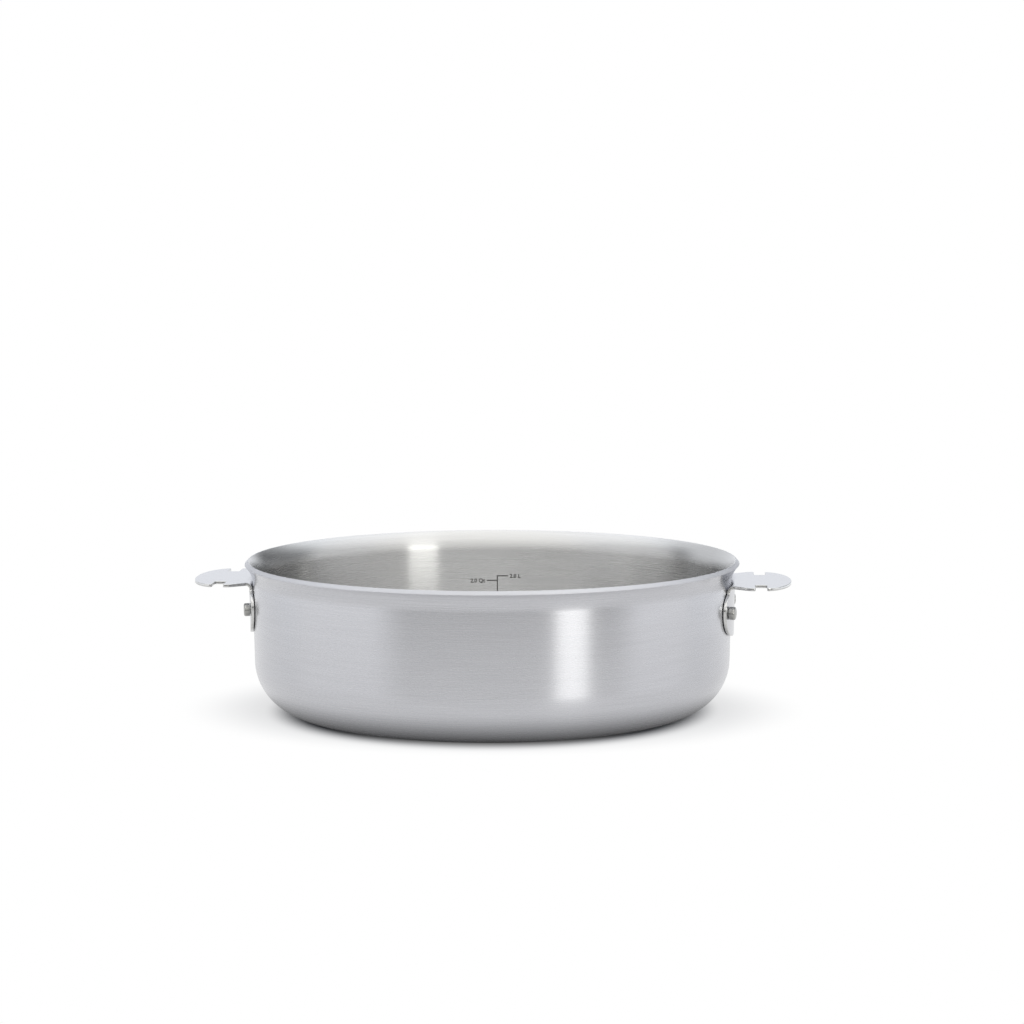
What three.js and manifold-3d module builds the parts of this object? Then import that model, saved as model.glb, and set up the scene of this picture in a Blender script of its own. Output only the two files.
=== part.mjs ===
// Saute pan: a low, straight-sided pan pressed from clad sheet, with a flared lip and two notched lugs.
// Each lug is one bent plate held by two rivets, and a clip-on handle grips its flat end by the notches.
// Millimetres, +Z up. The pan stands on z = 0 with its axis on Z, and the lugs point along +X and -X.

import * as THREE from 'three';
import { mergeVertices } from 'three/addons/utils/BufferGeometryUtils.js';
import Module from 'manifold-3d';

const { degToRad } = THREE.MathUtils;

// Pan body, measured on its outside
const PAN_HEIGHT = 76;
const WALL_RADIUS = 120; // at the foot of the lip's flare
const WALL_DRAFT = degToRad(1.15); // the wall leans out towards the lip
const BASE_CORNER_RADIUS = 26;
const LIP_FLARE_RADIUS = 13; // under the lip
const LIP_OVERHANG = 3.9; // beyond the wall, where the flare is trimmed square to its sheet

// Clad sheet, from the outside in
const OUTER_PLY = 0.5;
const CORE_PLY = 1.5;
const INNER_PLY = 0.5;
const BOND_LINE = 0.02; // between two plies

// Lug: a flat plate outside, a bend, and a flange that follows the wall
const LUG_SHEET = 1.5;
const LUG_BEND_RADIUS = 1.8; // inside of the bend
const LUG_STANDOFF = 0.4; // between the wall and the flange
const LUG_DROP = 10.2; // plate's top face below the top of the lip
const LUG_REACH = 29.7; // tip of the plate beyond the wall
const LUG_NECK_WIDTH = 50; // across the bend
const PLATE_WIDTH = 63;
const PLATE_NOSE_LENGTH = 15.4; // from the plate's widest line to its tip
const PLATE_NOSE_FULLNESS = 0.58; // 0.55 is an ellipse, more is squarer
const PLATE_FLANK_SWELL = 0.75; // how much of the swell comes early, next to the neck
const NOTCH_WIDTH = 5.7;
const NOTCH_FLOOR_SPAN = 38.6; // between the floors of the two notches
const FLANGE_WIDTH = 64;
const FLANGE_DEPTH = 27; // from the plate's top face to the flange's lower edge
const FLANGE_SHOULDER_DROP = 11.8; // from the plate's top face to the flange's widest line
const FLANGE_FULLNESS = 0.7;
const FLANGE_NECK_FULLNESS = 0.8; // how far up to the neck the flange keeps its width

// Rivets and the pressed bosses that they pull against the wall
const RIVET_DROP = 13.2; // below the plate's top face
const RIVET_EDGE_DISTANCE = 6.5; // in from the flange's side
const RIVET_SHANK_DIAMETER = 4;
const RIVET_HEAD_DIAMETER = 6.5;
const RIVET_HEAD_HEIGHT = 2.9;
const RIVET_HEAD_ROUND = 0.8;
const RIVET_INNER_HEAD_DIAMETER = 11;
const RIVET_INNER_HEAD_HEIGHT = 1.7;
const RIVET_INNER_HEAD_RIM = 0.5; // upright edge of the low dome
const BOSS_DIAMETER = 11.6;
const BOSS_TAPER = 0.8; // how much smaller the boss is in radius at the wall
const SEAT_GAP = 0.2; // between pieces that are pulled together
const SHANK_CLEARANCE = 0.15; // round a shank in its hole

// Facets
const PAN_STEPS = 56;
const LUG_RING_STEPS = 150;
const RIVET_STEPS = 18;
const CORNER_STEPS = 6;
const FLARE_STEPS = 5;
const BEND_STEPS = 5;
const OUTLINE_STEPS = 9;
const ROUND_STEPS = 3;

// Worked out from the sizes above
const CORE_DEPTH = OUTER_PLY + BOND_LINE;
const INNER_DEPTH = CORE_DEPTH + CORE_PLY + BOND_LINE;
const SHEET = INNER_DEPTH + INNER_PLY;
const LUG_TOP = PAN_HEIGHT - LUG_DROP;
const LUG_TIP = WALL_RADIUS + LUG_REACH;
const NOTCH_LINE = LUG_TIP - PLATE_NOSE_LENGTH;
const RIVET_HEIGHT = LUG_TOP - RIVET_DROP;
const HOLE_RADIUS = RIVET_SHANK_DIAMETER / 2 + SHANK_CLEARANCE;
const FLANGE_FACE = LUG_STANDOFF + LUG_SHEET; // the flange's outer face, out from the wall
const CUT_MARGIN = 5; // how far a cutting shape runs past what it cuts

const wasm = await Module();
wasm.setup();

// Solids

// A closed geometry as a solid that can be joined and cut.
function toSolid(geometry) {
  const bare = geometry.clone();
  bare.deleteAttribute('normal');
  bare.deleteAttribute('uv');
  const merged = mergeVertices(bare);
  const triangles = [];
  for (let i = 0; i < merged.index.count; i += 3) {
    const [a, b, c] = [0, 1, 2].map((corner) => merged.index.getX(i + corner));
    if (a !== b && b !== c && c !== a) triangles.push(a, b, c);
  }
  const vertProperties = new Float32Array(merged.attributes.position.array);
  const triVerts = new Uint32Array(triangles);
  return new wasm.Manifold(new wasm.Mesh({ numProp: 3, vertProperties, triVerts }));
}

function toGeometry(solid) {
  const { vertProperties, triVerts } = solid.getMesh();
  const geometry = new THREE.BufferGeometry();
  geometry.setAttribute('position', new THREE.BufferAttribute(vertProperties, 3));
  geometry.setIndex(new THREE.BufferAttribute(triVerts, 1));
  geometry.computeVertexNormals();
  return geometry;
}

// Turns a profile of (radius, height) points about the Z axis.
function revolve(profile, steps) {
  return new THREE.LatheGeometry(profile, steps).rotateX(Math.PI / 2);
}

// Points (radius, height) on an arc, where an angle of zero points out along the radius.
function arcPoints(centre, radius, from, to, steps) {
  return Array.from({ length: steps + 1 }, (_, i) => {
    const angle = from + ((to - from) * i) / steps;
    return new THREE.Vector2(centre.x + radius * Math.cos(angle), centre.y + radius * Math.sin(angle));
  });
}

// Pan body: every face of the sheet is one line, offset, from the base's middle to the lip's trimmed edge

// Angle from upright at which the flare reaches its overhang and is trimmed.
const flareEnd = Math.acos(Math.cos(WALL_DRAFT) - LIP_OVERHANG / LIP_FLARE_RADIUS);
const flareCentre = new THREE.Vector2(
  WALL_RADIUS + LIP_FLARE_RADIUS * Math.cos(WALL_DRAFT),
  PAN_HEIGHT - (LIP_FLARE_RADIUS + SHEET) * Math.sin(flareEnd),
);
const flareFoot = flareCentre.y + LIP_FLARE_RADIUS * Math.sin(WALL_DRAFT);
const cornerTop = BASE_CORNER_RADIUS * (1 - Math.sin(WALL_DRAFT));
const cornerCentre = new THREE.Vector2(
  wallRadiusAt(cornerTop) - BASE_CORNER_RADIUS * Math.cos(WALL_DRAFT),
  BASE_CORNER_RADIUS,
);

// Outside radius of the straight wall at a height.
function wallRadiusAt(height) {
  return WALL_RADIUS - (flareFoot - height) * Math.tan(WALL_DRAFT);
}

// The section of one face of the sheet, at a depth in from the outside.
function sheetSection(depth) {
  const corner = arcPoints(
    cornerCentre, BASE_CORNER_RADIUS - depth, -Math.PI / 2, -WALL_DRAFT, CORNER_STEPS,
  );
  const flare = arcPoints(
    flareCentre, LIP_FLARE_RADIUS + depth, Math.PI - WALL_DRAFT, Math.PI - flareEnd, FLARE_STEPS,
  );
  return [new THREE.Vector2(0, depth), ...corner, ...flare];
}

// One ply of the clad sheet, from a depth inwards, with its four rivet holes.
function plyGeometry(depth, thickness) {
  const section = [...sheetSection(depth), ...sheetSection(depth + thickness).reverse()];
  let ply = toSolid(revolve(section, PAN_STEPS));
  for (const frame of rivetFrames()) {
    ply = ply.subtract(toSolid(shankHole().applyMatrix4(frame)));
  }
  return toGeometry(ply);
}

// Rivets: each has a frame on the wall's outside, with +Z along the rivet and out of the pan

function rivetAngle() {
  const flangeRadius = wallRadiusAt(RIVET_HEIGHT) + FLANGE_FACE;
  return Math.asin((FLANGE_WIDTH / 2 - RIVET_EDGE_DISTANCE) / flangeRadius);
}

function rivetFrame(angle) {
  const outward = new THREE.Vector3(Math.cos(angle), Math.sin(angle), 0);
  const place = outward.clone().multiplyScalar(wallRadiusAt(RIVET_HEIGHT)).setZ(RIVET_HEIGHT);
  const normal = outward.multiplyScalar(Math.cos(WALL_DRAFT)).setZ(-Math.sin(WALL_DRAFT));
  const sideways = new THREE.Vector3(-Math.sin(angle), Math.cos(angle), 0);
  const upward = new THREE.Vector3().crossVectors(normal, sideways);
  return new THREE.Matrix4().makeBasis(sideways, upward, normal).setPosition(place);
}

function rivetFrames() {
  const side = rivetAngle();
  return [-side, side, Math.PI - side, Math.PI + side].map(rivetFrame);
}

function shankHole() {
  const length = 2 * (SHEET + FLANGE_FACE + CUT_MARGIN);
  return new THREE.CylinderGeometry(HOLE_RADIUS, HOLE_RADIUS, length, RIVET_STEPS).rotateX(Math.PI / 2);
}

// The pan's hollow side is drawn in by the wall's curve and its facets under the flat inner head.
function innerHeadSeat() {
  const wall = wallRadiusAt(RIVET_HEIGHT) - SHEET;
  const headRadius = RIVET_INNER_HEAD_DIAMETER / 2;
  const curve = wall - Math.sqrt(wall ** 2 - headRadius ** 2);
  const facet = wall * (1 - Math.cos(Math.PI / PAN_STEPS));
  return -(SHEET + curve + facet + SEAT_GAP);
}

// A low dome inside the pan, a shank through sheet and lug, and a stubby head with a rounded edge outside.
function rivetGeometry() {
  const innerSeat = innerHeadSeat();
  const innerRadius = RIVET_INNER_HEAD_DIAMETER / 2;
  const domeHeight = RIVET_INNER_HEAD_HEIGHT - RIVET_INNER_HEAD_RIM;
  const domeRadius = (innerRadius ** 2 + domeHeight ** 2) / (2 * domeHeight);
  const domeCentre = new THREE.Vector2(0, innerSeat - RIVET_INNER_HEAD_HEIGHT + domeRadius);
  const domeEdge = -Math.acos(innerRadius / domeRadius);
  const shank = RIVET_SHANK_DIAMETER / 2;
  const outerSeat = FLANGE_FACE + SEAT_GAP;
  const headRadius = RIVET_HEAD_DIAMETER / 2;
  const headTop = outerSeat + RIVET_HEAD_HEIGHT;
  const roundCentre = new THREE.Vector2(headRadius - RIVET_HEAD_ROUND, headTop - RIVET_HEAD_ROUND);
  const profile = [
    new THREE.Vector2(0, innerSeat - RIVET_INNER_HEAD_HEIGHT),
    ...arcPoints(domeCentre, domeRadius, -Math.PI / 2, domeEdge, ROUND_STEPS).slice(1),
    new THREE.Vector2(innerRadius, innerSeat),
    new THREE.Vector2(shank, innerSeat),
    new THREE.Vector2(shank, outerSeat),
    new THREE.Vector2(headRadius, outerSeat),
    ...arcPoints(roundCentre, RIVET_HEAD_ROUND, 0, Math.PI / 2, ROUND_STEPS),
    new THREE.Vector2(0, headTop),
  ];
  return revolve(profile, RIVET_STEPS);
}

// Lug, drawn on the +X side: u is out along X, v is across along Y

// Flange and bend as a ring about the pan, with a short flat run that the plate joins.
function flangeRing() {
  const lean = Math.cos(WALL_DRAFT);
  const bendHeight = LUG_TOP - LUG_SHEET - LUG_BEND_RADIUS;
  const bendFoot = bendHeight + LUG_BEND_RADIUS * Math.sin(WALL_DRAFT);
  const bendEnd = wallRadiusAt(bendFoot) + FLANGE_FACE / lean + LUG_BEND_RADIUS * lean;
  const bend = new THREE.Vector2(bendEnd, bendHeight);
  const upright = Math.PI - WALL_DRAFT;
  const bottom = LUG_TOP - FLANGE_DEPTH - CUT_MARGIN;
  const faceAt = (offset) => new THREE.Vector2(wallRadiusAt(bottom) + offset / lean, bottom);
  const joint = bendEnd + LUG_SHEET;
  const profile = [
    faceAt(FLANGE_FACE),
    ...arcPoints(bend, LUG_BEND_RADIUS, upright, Math.PI / 2, BEND_STEPS),
    new THREE.Vector2(joint, LUG_TOP - LUG_SHEET),
    new THREE.Vector2(joint, LUG_TOP),
    ...arcPoints(bend, LUG_BEND_RADIUS + LUG_SHEET, Math.PI / 2, upright, BEND_STEPS),
    faceAt(LUG_STANDOFF),
    faceAt(FLANGE_FACE),
  ];
  return { ring: revolve(profile, LUG_RING_STEPS), bendEnd };
}

// Outline of flange and bend seen from outside: a full, rounded apron under a narrower neck.
function flangeOutline() {
  const half = FLANGE_WIDTH / 2;
  const neck = LUG_NECK_WIDTH / 2;
  const low = LUG_TOP - FLANGE_DEPTH;
  const shoulder = LUG_TOP - FLANGE_SHOULDER_DROP;
  const neckFoot = LUG_TOP - LUG_SHEET;
  const high = LUG_TOP + CUT_MARGIN;
  const turn = shoulder + (neckFoot - shoulder) * FLANGE_NECK_FULLNESS;
  const spread = half * FLANGE_FULLNESS;
  const rise = shoulder - (shoulder - low) * FLANGE_FULLNESS;
  const outline = new THREE.Shape();
  outline.moveTo(0, low);
  outline.bezierCurveTo(spread, low, half, rise, half, shoulder);
  outline.bezierCurveTo(half, turn, neck, turn, neck, neckFoot);
  outline.lineTo(neck, high);
  outline.lineTo(-neck, high);
  outline.lineTo(-neck, neckFoot);
  outline.bezierCurveTo(-neck, turn, -half, turn, -half, shoulder);
  outline.bezierCurveTo(-half, rise, -spread, low, 0, low);
  return outline;
}

// Outline of the plate from above: it swells from the neck to its widest line and ends in a rounded nose.
function plateOutline(bendEnd) {
  const half = PLATE_WIDTH / 2;
  const neck = LUG_NECK_WIDTH / 2;
  const neckAngle = Math.asin(neck / bendEnd);
  const root = bendEnd * Math.cos(neckAngle);
  const swell = (NOTCH_LINE - root) / 2;
  const noseRun = NOTCH_LINE + PLATE_NOSE_LENGTH * PLATE_NOSE_FULLNESS;
  const noseSide = half * PLATE_NOSE_FULLNESS;
  const flank = neck + (half - neck) * PLATE_FLANK_SWELL;
  const outline = new THREE.Shape();
  outline.moveTo(root, -neck);
  outline.bezierCurveTo(root + swell, -flank, NOTCH_LINE - swell, -half, NOTCH_LINE, -half);
  outline.bezierCurveTo(noseRun, -half, LUG_TIP, -noseSide, LUG_TIP, 0);
  outline.bezierCurveTo(LUG_TIP, noseSide, noseRun, half, NOTCH_LINE, half);
  outline.bezierCurveTo(NOTCH_LINE - swell, half, root + swell, flank, root, neck);
  outline.absarc(0, 0, bendEnd, neckAngle, -neckAngle, true);
  return outline;
}

function extrude(outline, depth) {
  return new THREE.ExtrudeGeometry(outline, { depth, bevelEnabled: false, curveSegments: OUTLINE_STEPS });
}

function notch(side) {
  const depth = PLATE_WIDTH / 2 - NOTCH_FLOOR_SPAN / 2 + CUT_MARGIN;
  const box = new THREE.BoxGeometry(NOTCH_WIDTH, depth, LUG_SHEET + CUT_MARGIN);
  return box.translate(NOTCH_LINE, side * (NOTCH_FLOOR_SPAN / 2 + depth / 2), LUG_TOP - LUG_SHEET / 2);
}

// A tapered boss pressed out of the flange, from inside its sheet to just clear of the wall.
function boss() {
  const root = LUG_STANDOFF + LUG_SHEET / 2;
  const radius = BOSS_DIAMETER / 2;
  const geometry = new THREE.CylinderGeometry(radius, radius - BOSS_TAPER, root - SEAT_GAP, RIVET_STEPS);
  return geometry.rotateX(Math.PI / 2).translate(0, 0, (root + SEAT_GAP) / 2);
}

function lugGeometry() {
  const { ring, bendEnd } = flangeRing();
  const acrossToY = new THREE.Matrix4().makeBasis(
    new THREE.Vector3(0, 1, 0), new THREE.Vector3(0, 0, 1), new THREE.Vector3(1, 0, 0),
  );
  const apron = extrude(flangeOutline(), LUG_TIP).applyMatrix4(acrossToY);
  const plate = extrude(plateOutline(bendEnd), LUG_SHEET).translate(0, 0, LUG_TOP - LUG_SHEET);
  let lug = toSolid(ring).intersect(toSolid(apron)).add(toSolid(plate));
  for (const side of [-1, 1]) {
    const frame = rivetFrame(side * rivetAngle());
    lug = lug.subtract(toSolid(notch(side)));
    lug = lug.add(toSolid(boss().applyMatrix4(frame)));
    lug = lug.subtract(toSolid(shankHole().applyMatrix4(frame)));
  }
  return toGeometry(lug);
}

// Finishes: bare metal throughout

const OUTSIDE_STEEL = { color: 0xbcbcc0, roughness: 0.34 };
const INSIDE_STEEL = { color: 0xb6b6b8, roughness: 0.4 };
const CORE_ALUMINIUM = { color: 0xc9cbcc, roughness: 0.5 };
const POLISHED_STEEL = { color: 0xd4d6dc, roughness: 0.18 };
const RIVET_STEEL = { color: 0xa4a4a2, roughness: 0.3 };

function metal(finish) {
  return new THREE.MeshStandardMaterial({ ...finish, metalness: 1 });
}

// Assembly

const pan = new THREE.Group();

function addPiece(name, geometry, finish, parent = pan) {
  const mesh = new THREE.Mesh(geometry, metal(finish));
  mesh.name = name;
  parent.add(mesh);
  return mesh;
}

addPiece('outer_steel_ply', plyGeometry(0, OUTER_PLY), OUTSIDE_STEEL);
addPiece('aluminium_core', plyGeometry(CORE_DEPTH, CORE_PLY), CORE_ALUMINIUM);
addPiece('inner_steel_ply', plyGeometry(INNER_DEPTH, INNER_PLY), INSIDE_STEEL);

const lugSides = [
  { side: 'right', turn: 0, first: 'front', second: 'back' },
  { side: 'left', turn: Math.PI, first: 'back', second: 'front' },
];
for (const { side, turn, first, second } of lugSides) {
  const station = new THREE.Group();
  station.rotation.z = turn;
  pan.add(station);
  addPiece(`lug_${side}`, lugGeometry(), POLISHED_STEEL, station);
  [[first, -rivetAngle()], [second, rivetAngle()]].forEach(([place, angle]) => {
    const rivet = addPiece(`rivet_${side}_${place}`, rivetGeometry(), RIVET_STEEL, station);
    rivet.applyMatrix4(rivetFrame(angle));
  });
}

export default pan;
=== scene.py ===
"""Saute pan of clad steel sheet with two riveted, notched lugs, dressed and set in a small studio.

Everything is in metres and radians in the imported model's frame: +Z is up, the pan stands on z = 0
with its axis on Z, and its lugs point along +X and -X.
"""

import logging
import math
from dataclasses import dataclass, field
from enum import Enum
from typing import Any, Mapping, Optional, Sequence, Union

import bmesh
import bpy
from mathutils import Matrix, Vector
from mathutils.geometry import delaunay_2d_cdt


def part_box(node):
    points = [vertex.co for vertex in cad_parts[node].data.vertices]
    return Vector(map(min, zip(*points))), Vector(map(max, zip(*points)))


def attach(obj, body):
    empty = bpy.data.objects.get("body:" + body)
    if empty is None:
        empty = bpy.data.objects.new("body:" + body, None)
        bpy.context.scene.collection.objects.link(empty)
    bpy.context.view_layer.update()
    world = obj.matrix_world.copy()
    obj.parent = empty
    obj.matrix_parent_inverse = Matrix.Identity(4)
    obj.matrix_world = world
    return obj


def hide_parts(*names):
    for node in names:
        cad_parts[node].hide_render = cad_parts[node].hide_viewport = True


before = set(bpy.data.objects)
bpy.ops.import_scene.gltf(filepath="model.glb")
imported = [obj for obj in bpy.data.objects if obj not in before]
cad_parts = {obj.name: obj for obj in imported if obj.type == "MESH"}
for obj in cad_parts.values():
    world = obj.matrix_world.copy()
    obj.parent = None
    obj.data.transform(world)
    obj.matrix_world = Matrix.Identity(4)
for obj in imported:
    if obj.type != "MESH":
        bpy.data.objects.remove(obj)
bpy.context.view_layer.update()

LOG = logging.getLogger("saute_pan")
MM = 0.001
VIEW_TURN = math.radians(4.2)
SHARP_ANGLE = math.radians(50.0)
BODY = "root"

Colour = tuple[float, float, float]
Point = tuple[float, float]
Shade = Union[Colour, bpy.types.NodeSocket]

WHITE: Colour = (1.0, 1.0, 1.0)
# A shader counts the turn of its brush lines in whole turns. A quarter lays them round the axis.
LINES_ROUND_AXIS = 0.25
# A Mix node's sockets for colours go by number, because those for values have the same names.
MIX_COLOURS = (6, 7)
MIX_RESULT = 2
# These keep a division from failing on the axis, straight overhead and on a stretch of no length.
LEAST_RADIUS = 0.01 * MM
LEAST_LEVEL_PART = 0.001
LEAST_SQUARE = 1e-18
# What the flat sheet's triangulation keeps, and how near its points may come before they merge.
INSIDE_ONLY = 1
MERGE_DISTANCE = 1e-7


# Shader maths


class Signal:
    """A value on a node's socket, with Python's operators for maths on it."""

    def __init__(self, board: "NodeBoard", socket: bpy.types.NodeSocket) -> None:
        """Keeps the socket, and the board that the maths goes on."""
        self.board = board
        self.socket = socket

    def math(self, operation: str, *operands: "Operand") -> "Signal":
        """Adds one Math node.

        Args:
            operation: Blender's name of the operation.
            operands: what goes into the node's sockets, in order.

        Returns:
            The node's result.
        """
        node = self.board.add("ShaderNodeMath", {"operation": operation}, dict(enumerate(operands)))
        return self.board.signal(node)

    def __add__(self, other: "Operand") -> "Signal":
        """Sum."""
        return self.math("ADD", self, other)

    def __radd__(self, other: "Operand") -> "Signal":
        """Sum, from the right."""
        return self.math("ADD", other, self)

    def __sub__(self, other: "Operand") -> "Signal":
        """Difference."""
        return self.math("SUBTRACT", self, other)

    def __rsub__(self, other: "Operand") -> "Signal":
        """Difference, from the right."""
        return self.math("SUBTRACT", other, self)

    def __mul__(self, other: "Operand") -> "Signal":
        """Product."""
        return self.math("MULTIPLY", self, other)

    def __rmul__(self, other: "Operand") -> "Signal":
        """Product, from the right."""
        return self.math("MULTIPLY", other, self)

    def __truediv__(self, other: "Operand") -> "Signal":
        """Quotient."""
        return self.math("DIVIDE", self, other)

    def __rtruediv__(self, other: "Operand") -> "Signal":
        """Quotient, from the right."""
        return self.math("DIVIDE", other, self)

    def highest(self, other: "Operand") -> "Signal":
        """The larger of two values."""
        return self.math("MAXIMUM", self, other)

    def root(self) -> "Signal":
        """Square root."""
        return self.math("SQRT", self)

    def smooth_step(self, start: float, end: float) -> "Signal":
        """Rises smoothly from 0 at start to 1 at end.

        Args:
            start: value at which the result is 0.
            end: value at which the result is 1.

        Returns:
            The smoothed value, between 0 and 1.
        """
        node = self.board.add(
            "ShaderNodeMapRange",
            {"interpolation_type": "SMOOTHSTEP"},
            {"Value": self, "From Min": start, "From Max": end},
        )
        return self.board.signal(node, "Result")


Operand = Union[Signal, float]
Input = Union[Signal, bpy.types.NodeSocket, float, Sequence[float]]


class Space(Enum):
    """What a shader's coordinates say: a place on a piece, or a direction into the room."""

    PIECE = "Object"
    ROOM = "Generated"


@dataclass(frozen=True)
class Octaves:
    """How noise is built up: how many finer octaves it has, and the share that each of them keeps."""

    count: float
    share: float


BRUSH_OCTAVES = Octaves(3.0, 0.6)
BAND_OCTAVES = Octaves(2.0, 0.5)
CLOUD_OCTAVES = Octaves(3.0, 0.55)
HAIRLINE_OCTAVES = Octaves(4.0, 0.6)


class NodeBoard:
    """The emptied node tree of one material or world."""

    def __init__(self, owner: Union[bpy.types.Material, bpy.types.World]) -> None:
        """Switches the owner's nodes on and clears them."""
        owner.use_nodes = True
        self.tree = owner.node_tree
        self.tree.nodes.clear()

    def add(
        self,
        kind: str,
        settings: Optional[Mapping[str, Any]] = None,
        inputs: Optional[Mapping[Union[str, int], Input]] = None,
    ) -> bpy.types.Node:
        """Adds one node.

        Args:
            kind: Blender's type of node.
            settings: the node's own attributes, set before its sockets.
            inputs: a value or a link for each socket, by name or number.

        Returns:
            The node.
        """
        node = self.tree.nodes.new(kind)
        for name, value in (settings or {}).items():
            setattr(node, name, value)
        for key, value in (inputs or {}).items():
            source = value.socket if isinstance(value, Signal) else value
            if isinstance(source, bpy.types.NodeSocket):
                self.tree.links.new(source, node.inputs[key])
            else:
                node.inputs[key].default_value = source
        return node

    def signal(self, node: bpy.types.Node, output: Union[str, int] = 0) -> Signal:
        """One output of a node, ready for maths."""
        return Signal(self, node.outputs[output])

    def position(self, space: Space = Space.PIECE) -> tuple[Signal, Signal, Signal]:
        """The three coordinates of a point or a direction.

        Args:
            space: what the coordinates say.

        Returns:
            The parts along X, Y and Z.
        """
        place = self.add("ShaderNodeTexCoord")
        axes = self.add("ShaderNodeSeparateXYZ", inputs={0: place.outputs[space.value]})
        return self.signal(axes, "X"), self.signal(axes, "Y"), self.signal(axes, "Z")

    def rays(self) -> tuple[Signal, Signal]:
        """1 for a ray from the camera, else 0, and 1 for a ray from metal or glass, else 0."""
        path = self.add("ShaderNodeLightPath")
        camera, glossy, through = (
            self.signal(path, f"Is {kind} Ray") for kind in ("Camera", "Glossy", "Transmission")
        )
        return camera, glossy.highest(through)

    def vector(self, x: Operand, y: Operand, z: Operand) -> Signal:
        """Three values as one vector."""
        return self.signal(self.add("ShaderNodeCombineXYZ", inputs={"X": x, "Y": y, "Z": z}))

    def noise(self, place: Signal, along: Operand, octaves: Octaves) -> Signal:
        """Fractal noise of one lump per unit.

        Args:
            place: where to read the noise.
            along: a fourth coordinate.
            octaves: how the noise is built up.

        Returns:
            A value from 0 to 1, about 0.5 on average.
        """
        inputs = {
            "Vector": place,
            "W": along,
            "Scale": 1.0,
            "Detail": octaves.count,
            "Roughness": octaves.share,
        }
        return self.signal(self.add("ShaderNodeTexNoise", {"noise_dimensions": "4D"}, inputs))

    def grain(self, size: Sequence[float], octaves: Octaves, along: float = 0.0) -> Signal:
        """Fractal noise over a piece, in lumps of one size.

        Args:
            size: a lump's size along X, Y and Z.
            octaves: how the noise is built up.
            along: a fourth coordinate, which sets one grain apart from another.

        Returns:
            A value from 0 to 1, about 0.5 on average.
        """
        place = self.vector(*(part / length for part, length in zip(self.position(), size)))
        return self.noise(place, along, octaves)

    def tint(self, colour: Colour, gain: Signal) -> bpy.types.NodeSocket:
        """A colour made lighter or darker over the surface.

        Args:
            colour: the colour where the gain is 1.
            gain: what the colour is multiplied by.

        Returns:
            The tinted colour's socket.
        """
        scaled = self.add("ShaderNodeVectorMath", {"operation": "SCALE"}, {0: colour, "Scale": gain})
        return scaled.outputs[0]

    def blend(self, factor: Signal, first: Shade, second: Shade) -> bpy.types.NodeSocket:
        """A colour between two others.

        Args:
            factor: 0 for the first colour, 1 for the second.
            first: linear colour, or a colour's socket.
            second: linear colour, or a colour's socket.

        Returns:
            The mixed colour's socket.
        """
        inputs = {0: factor}
        for socket, end in zip(MIX_COLOURS, (first, second)):
            inputs[socket] = end if isinstance(end, bpy.types.NodeSocket) else (*end, 1.0)
        mix = self.add("ShaderNodeMix", {"data_type": "RGBA"}, inputs)
        return mix.outputs[MIX_RESULT]

    def bump(self, height: Signal, distance: float) -> bpy.types.NodeSocket:
        """The surface's normal over a small relief.

        Args:
            height: the relief, from 0 to 1.
            distance: what a height of 1 measures, in metres.

        Returns:
            The normal's socket.
        """
        return self.add("ShaderNodeBump", inputs={"Height": height, "Distance": distance}).outputs[0]


# Finishes


class Finish:
    """A finish that makes its own material."""

    name: str

    def paint(self, board: NodeBoard) -> bpy.types.Node:
        """Builds the shader node. Each finish has its own."""
        raise NotImplementedError

    def material(self) -> bpy.types.Material:
        """The finish as a material, made the first time that it is asked for."""
        found = bpy.data.materials.get(self.name)
        if found:
            return found
        material = bpy.data.materials.new(self.name)
        board = NodeBoard(material)
        shader = self.paint(board)
        board.add("ShaderNodeOutputMaterial", inputs={"Surface": shader.outputs[0]})
        return material


@dataclass(frozen=True)
class BrushedMetal(Finish):
    """Metal brushed or turned in fine lines round its piece's own Z axis."""

    name: str
    colour: Colour
    roughness: float
    anisotropy: float
    line_pitch: float
    band_pitch: float
    streaks_per_turn: float
    line_contrast: float
    band_contrast: float
    groove_depth: float

    def paint(self, board: NodeBoard) -> bpy.types.Node:
        """Brush lines over broader bands.

        Args:
            board: the material's nodes.

        Returns:
            The metal's shader.
        """
        x, y, z = board.position()
        radius = (x * x + y * y).root().highest(LEAST_RADIUS)
        reach = self.streaks_per_turn / (2 * math.pi)
        across, back = x / radius * reach, y / radius * reach
        lines, bands = (
            board.noise(board.vector(across, back, z / pitch), radius / pitch, octaves)
            for pitch, octaves in ((self.line_pitch, BRUSH_OCTAVES), (self.band_pitch, BAND_OCTAVES))
        )
        fine = lines - 0.5
        broad = bands - 0.5
        gain = 1.0 + fine * self.line_contrast + broad * self.band_contrast
        return board.add(
            "ShaderNodeBsdfPrincipled",
            inputs={
                "Base Color": board.tint(self.colour, gain),
                "Metallic": 1.0,
                "Roughness": self.roughness - fine * self.line_contrast,
                "Anisotropic": self.anisotropy,
                "Anisotropic Rotation": LINES_ROUND_AXIS,
                "Normal": board.bump(lines, self.groove_depth),
            },
        )


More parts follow.
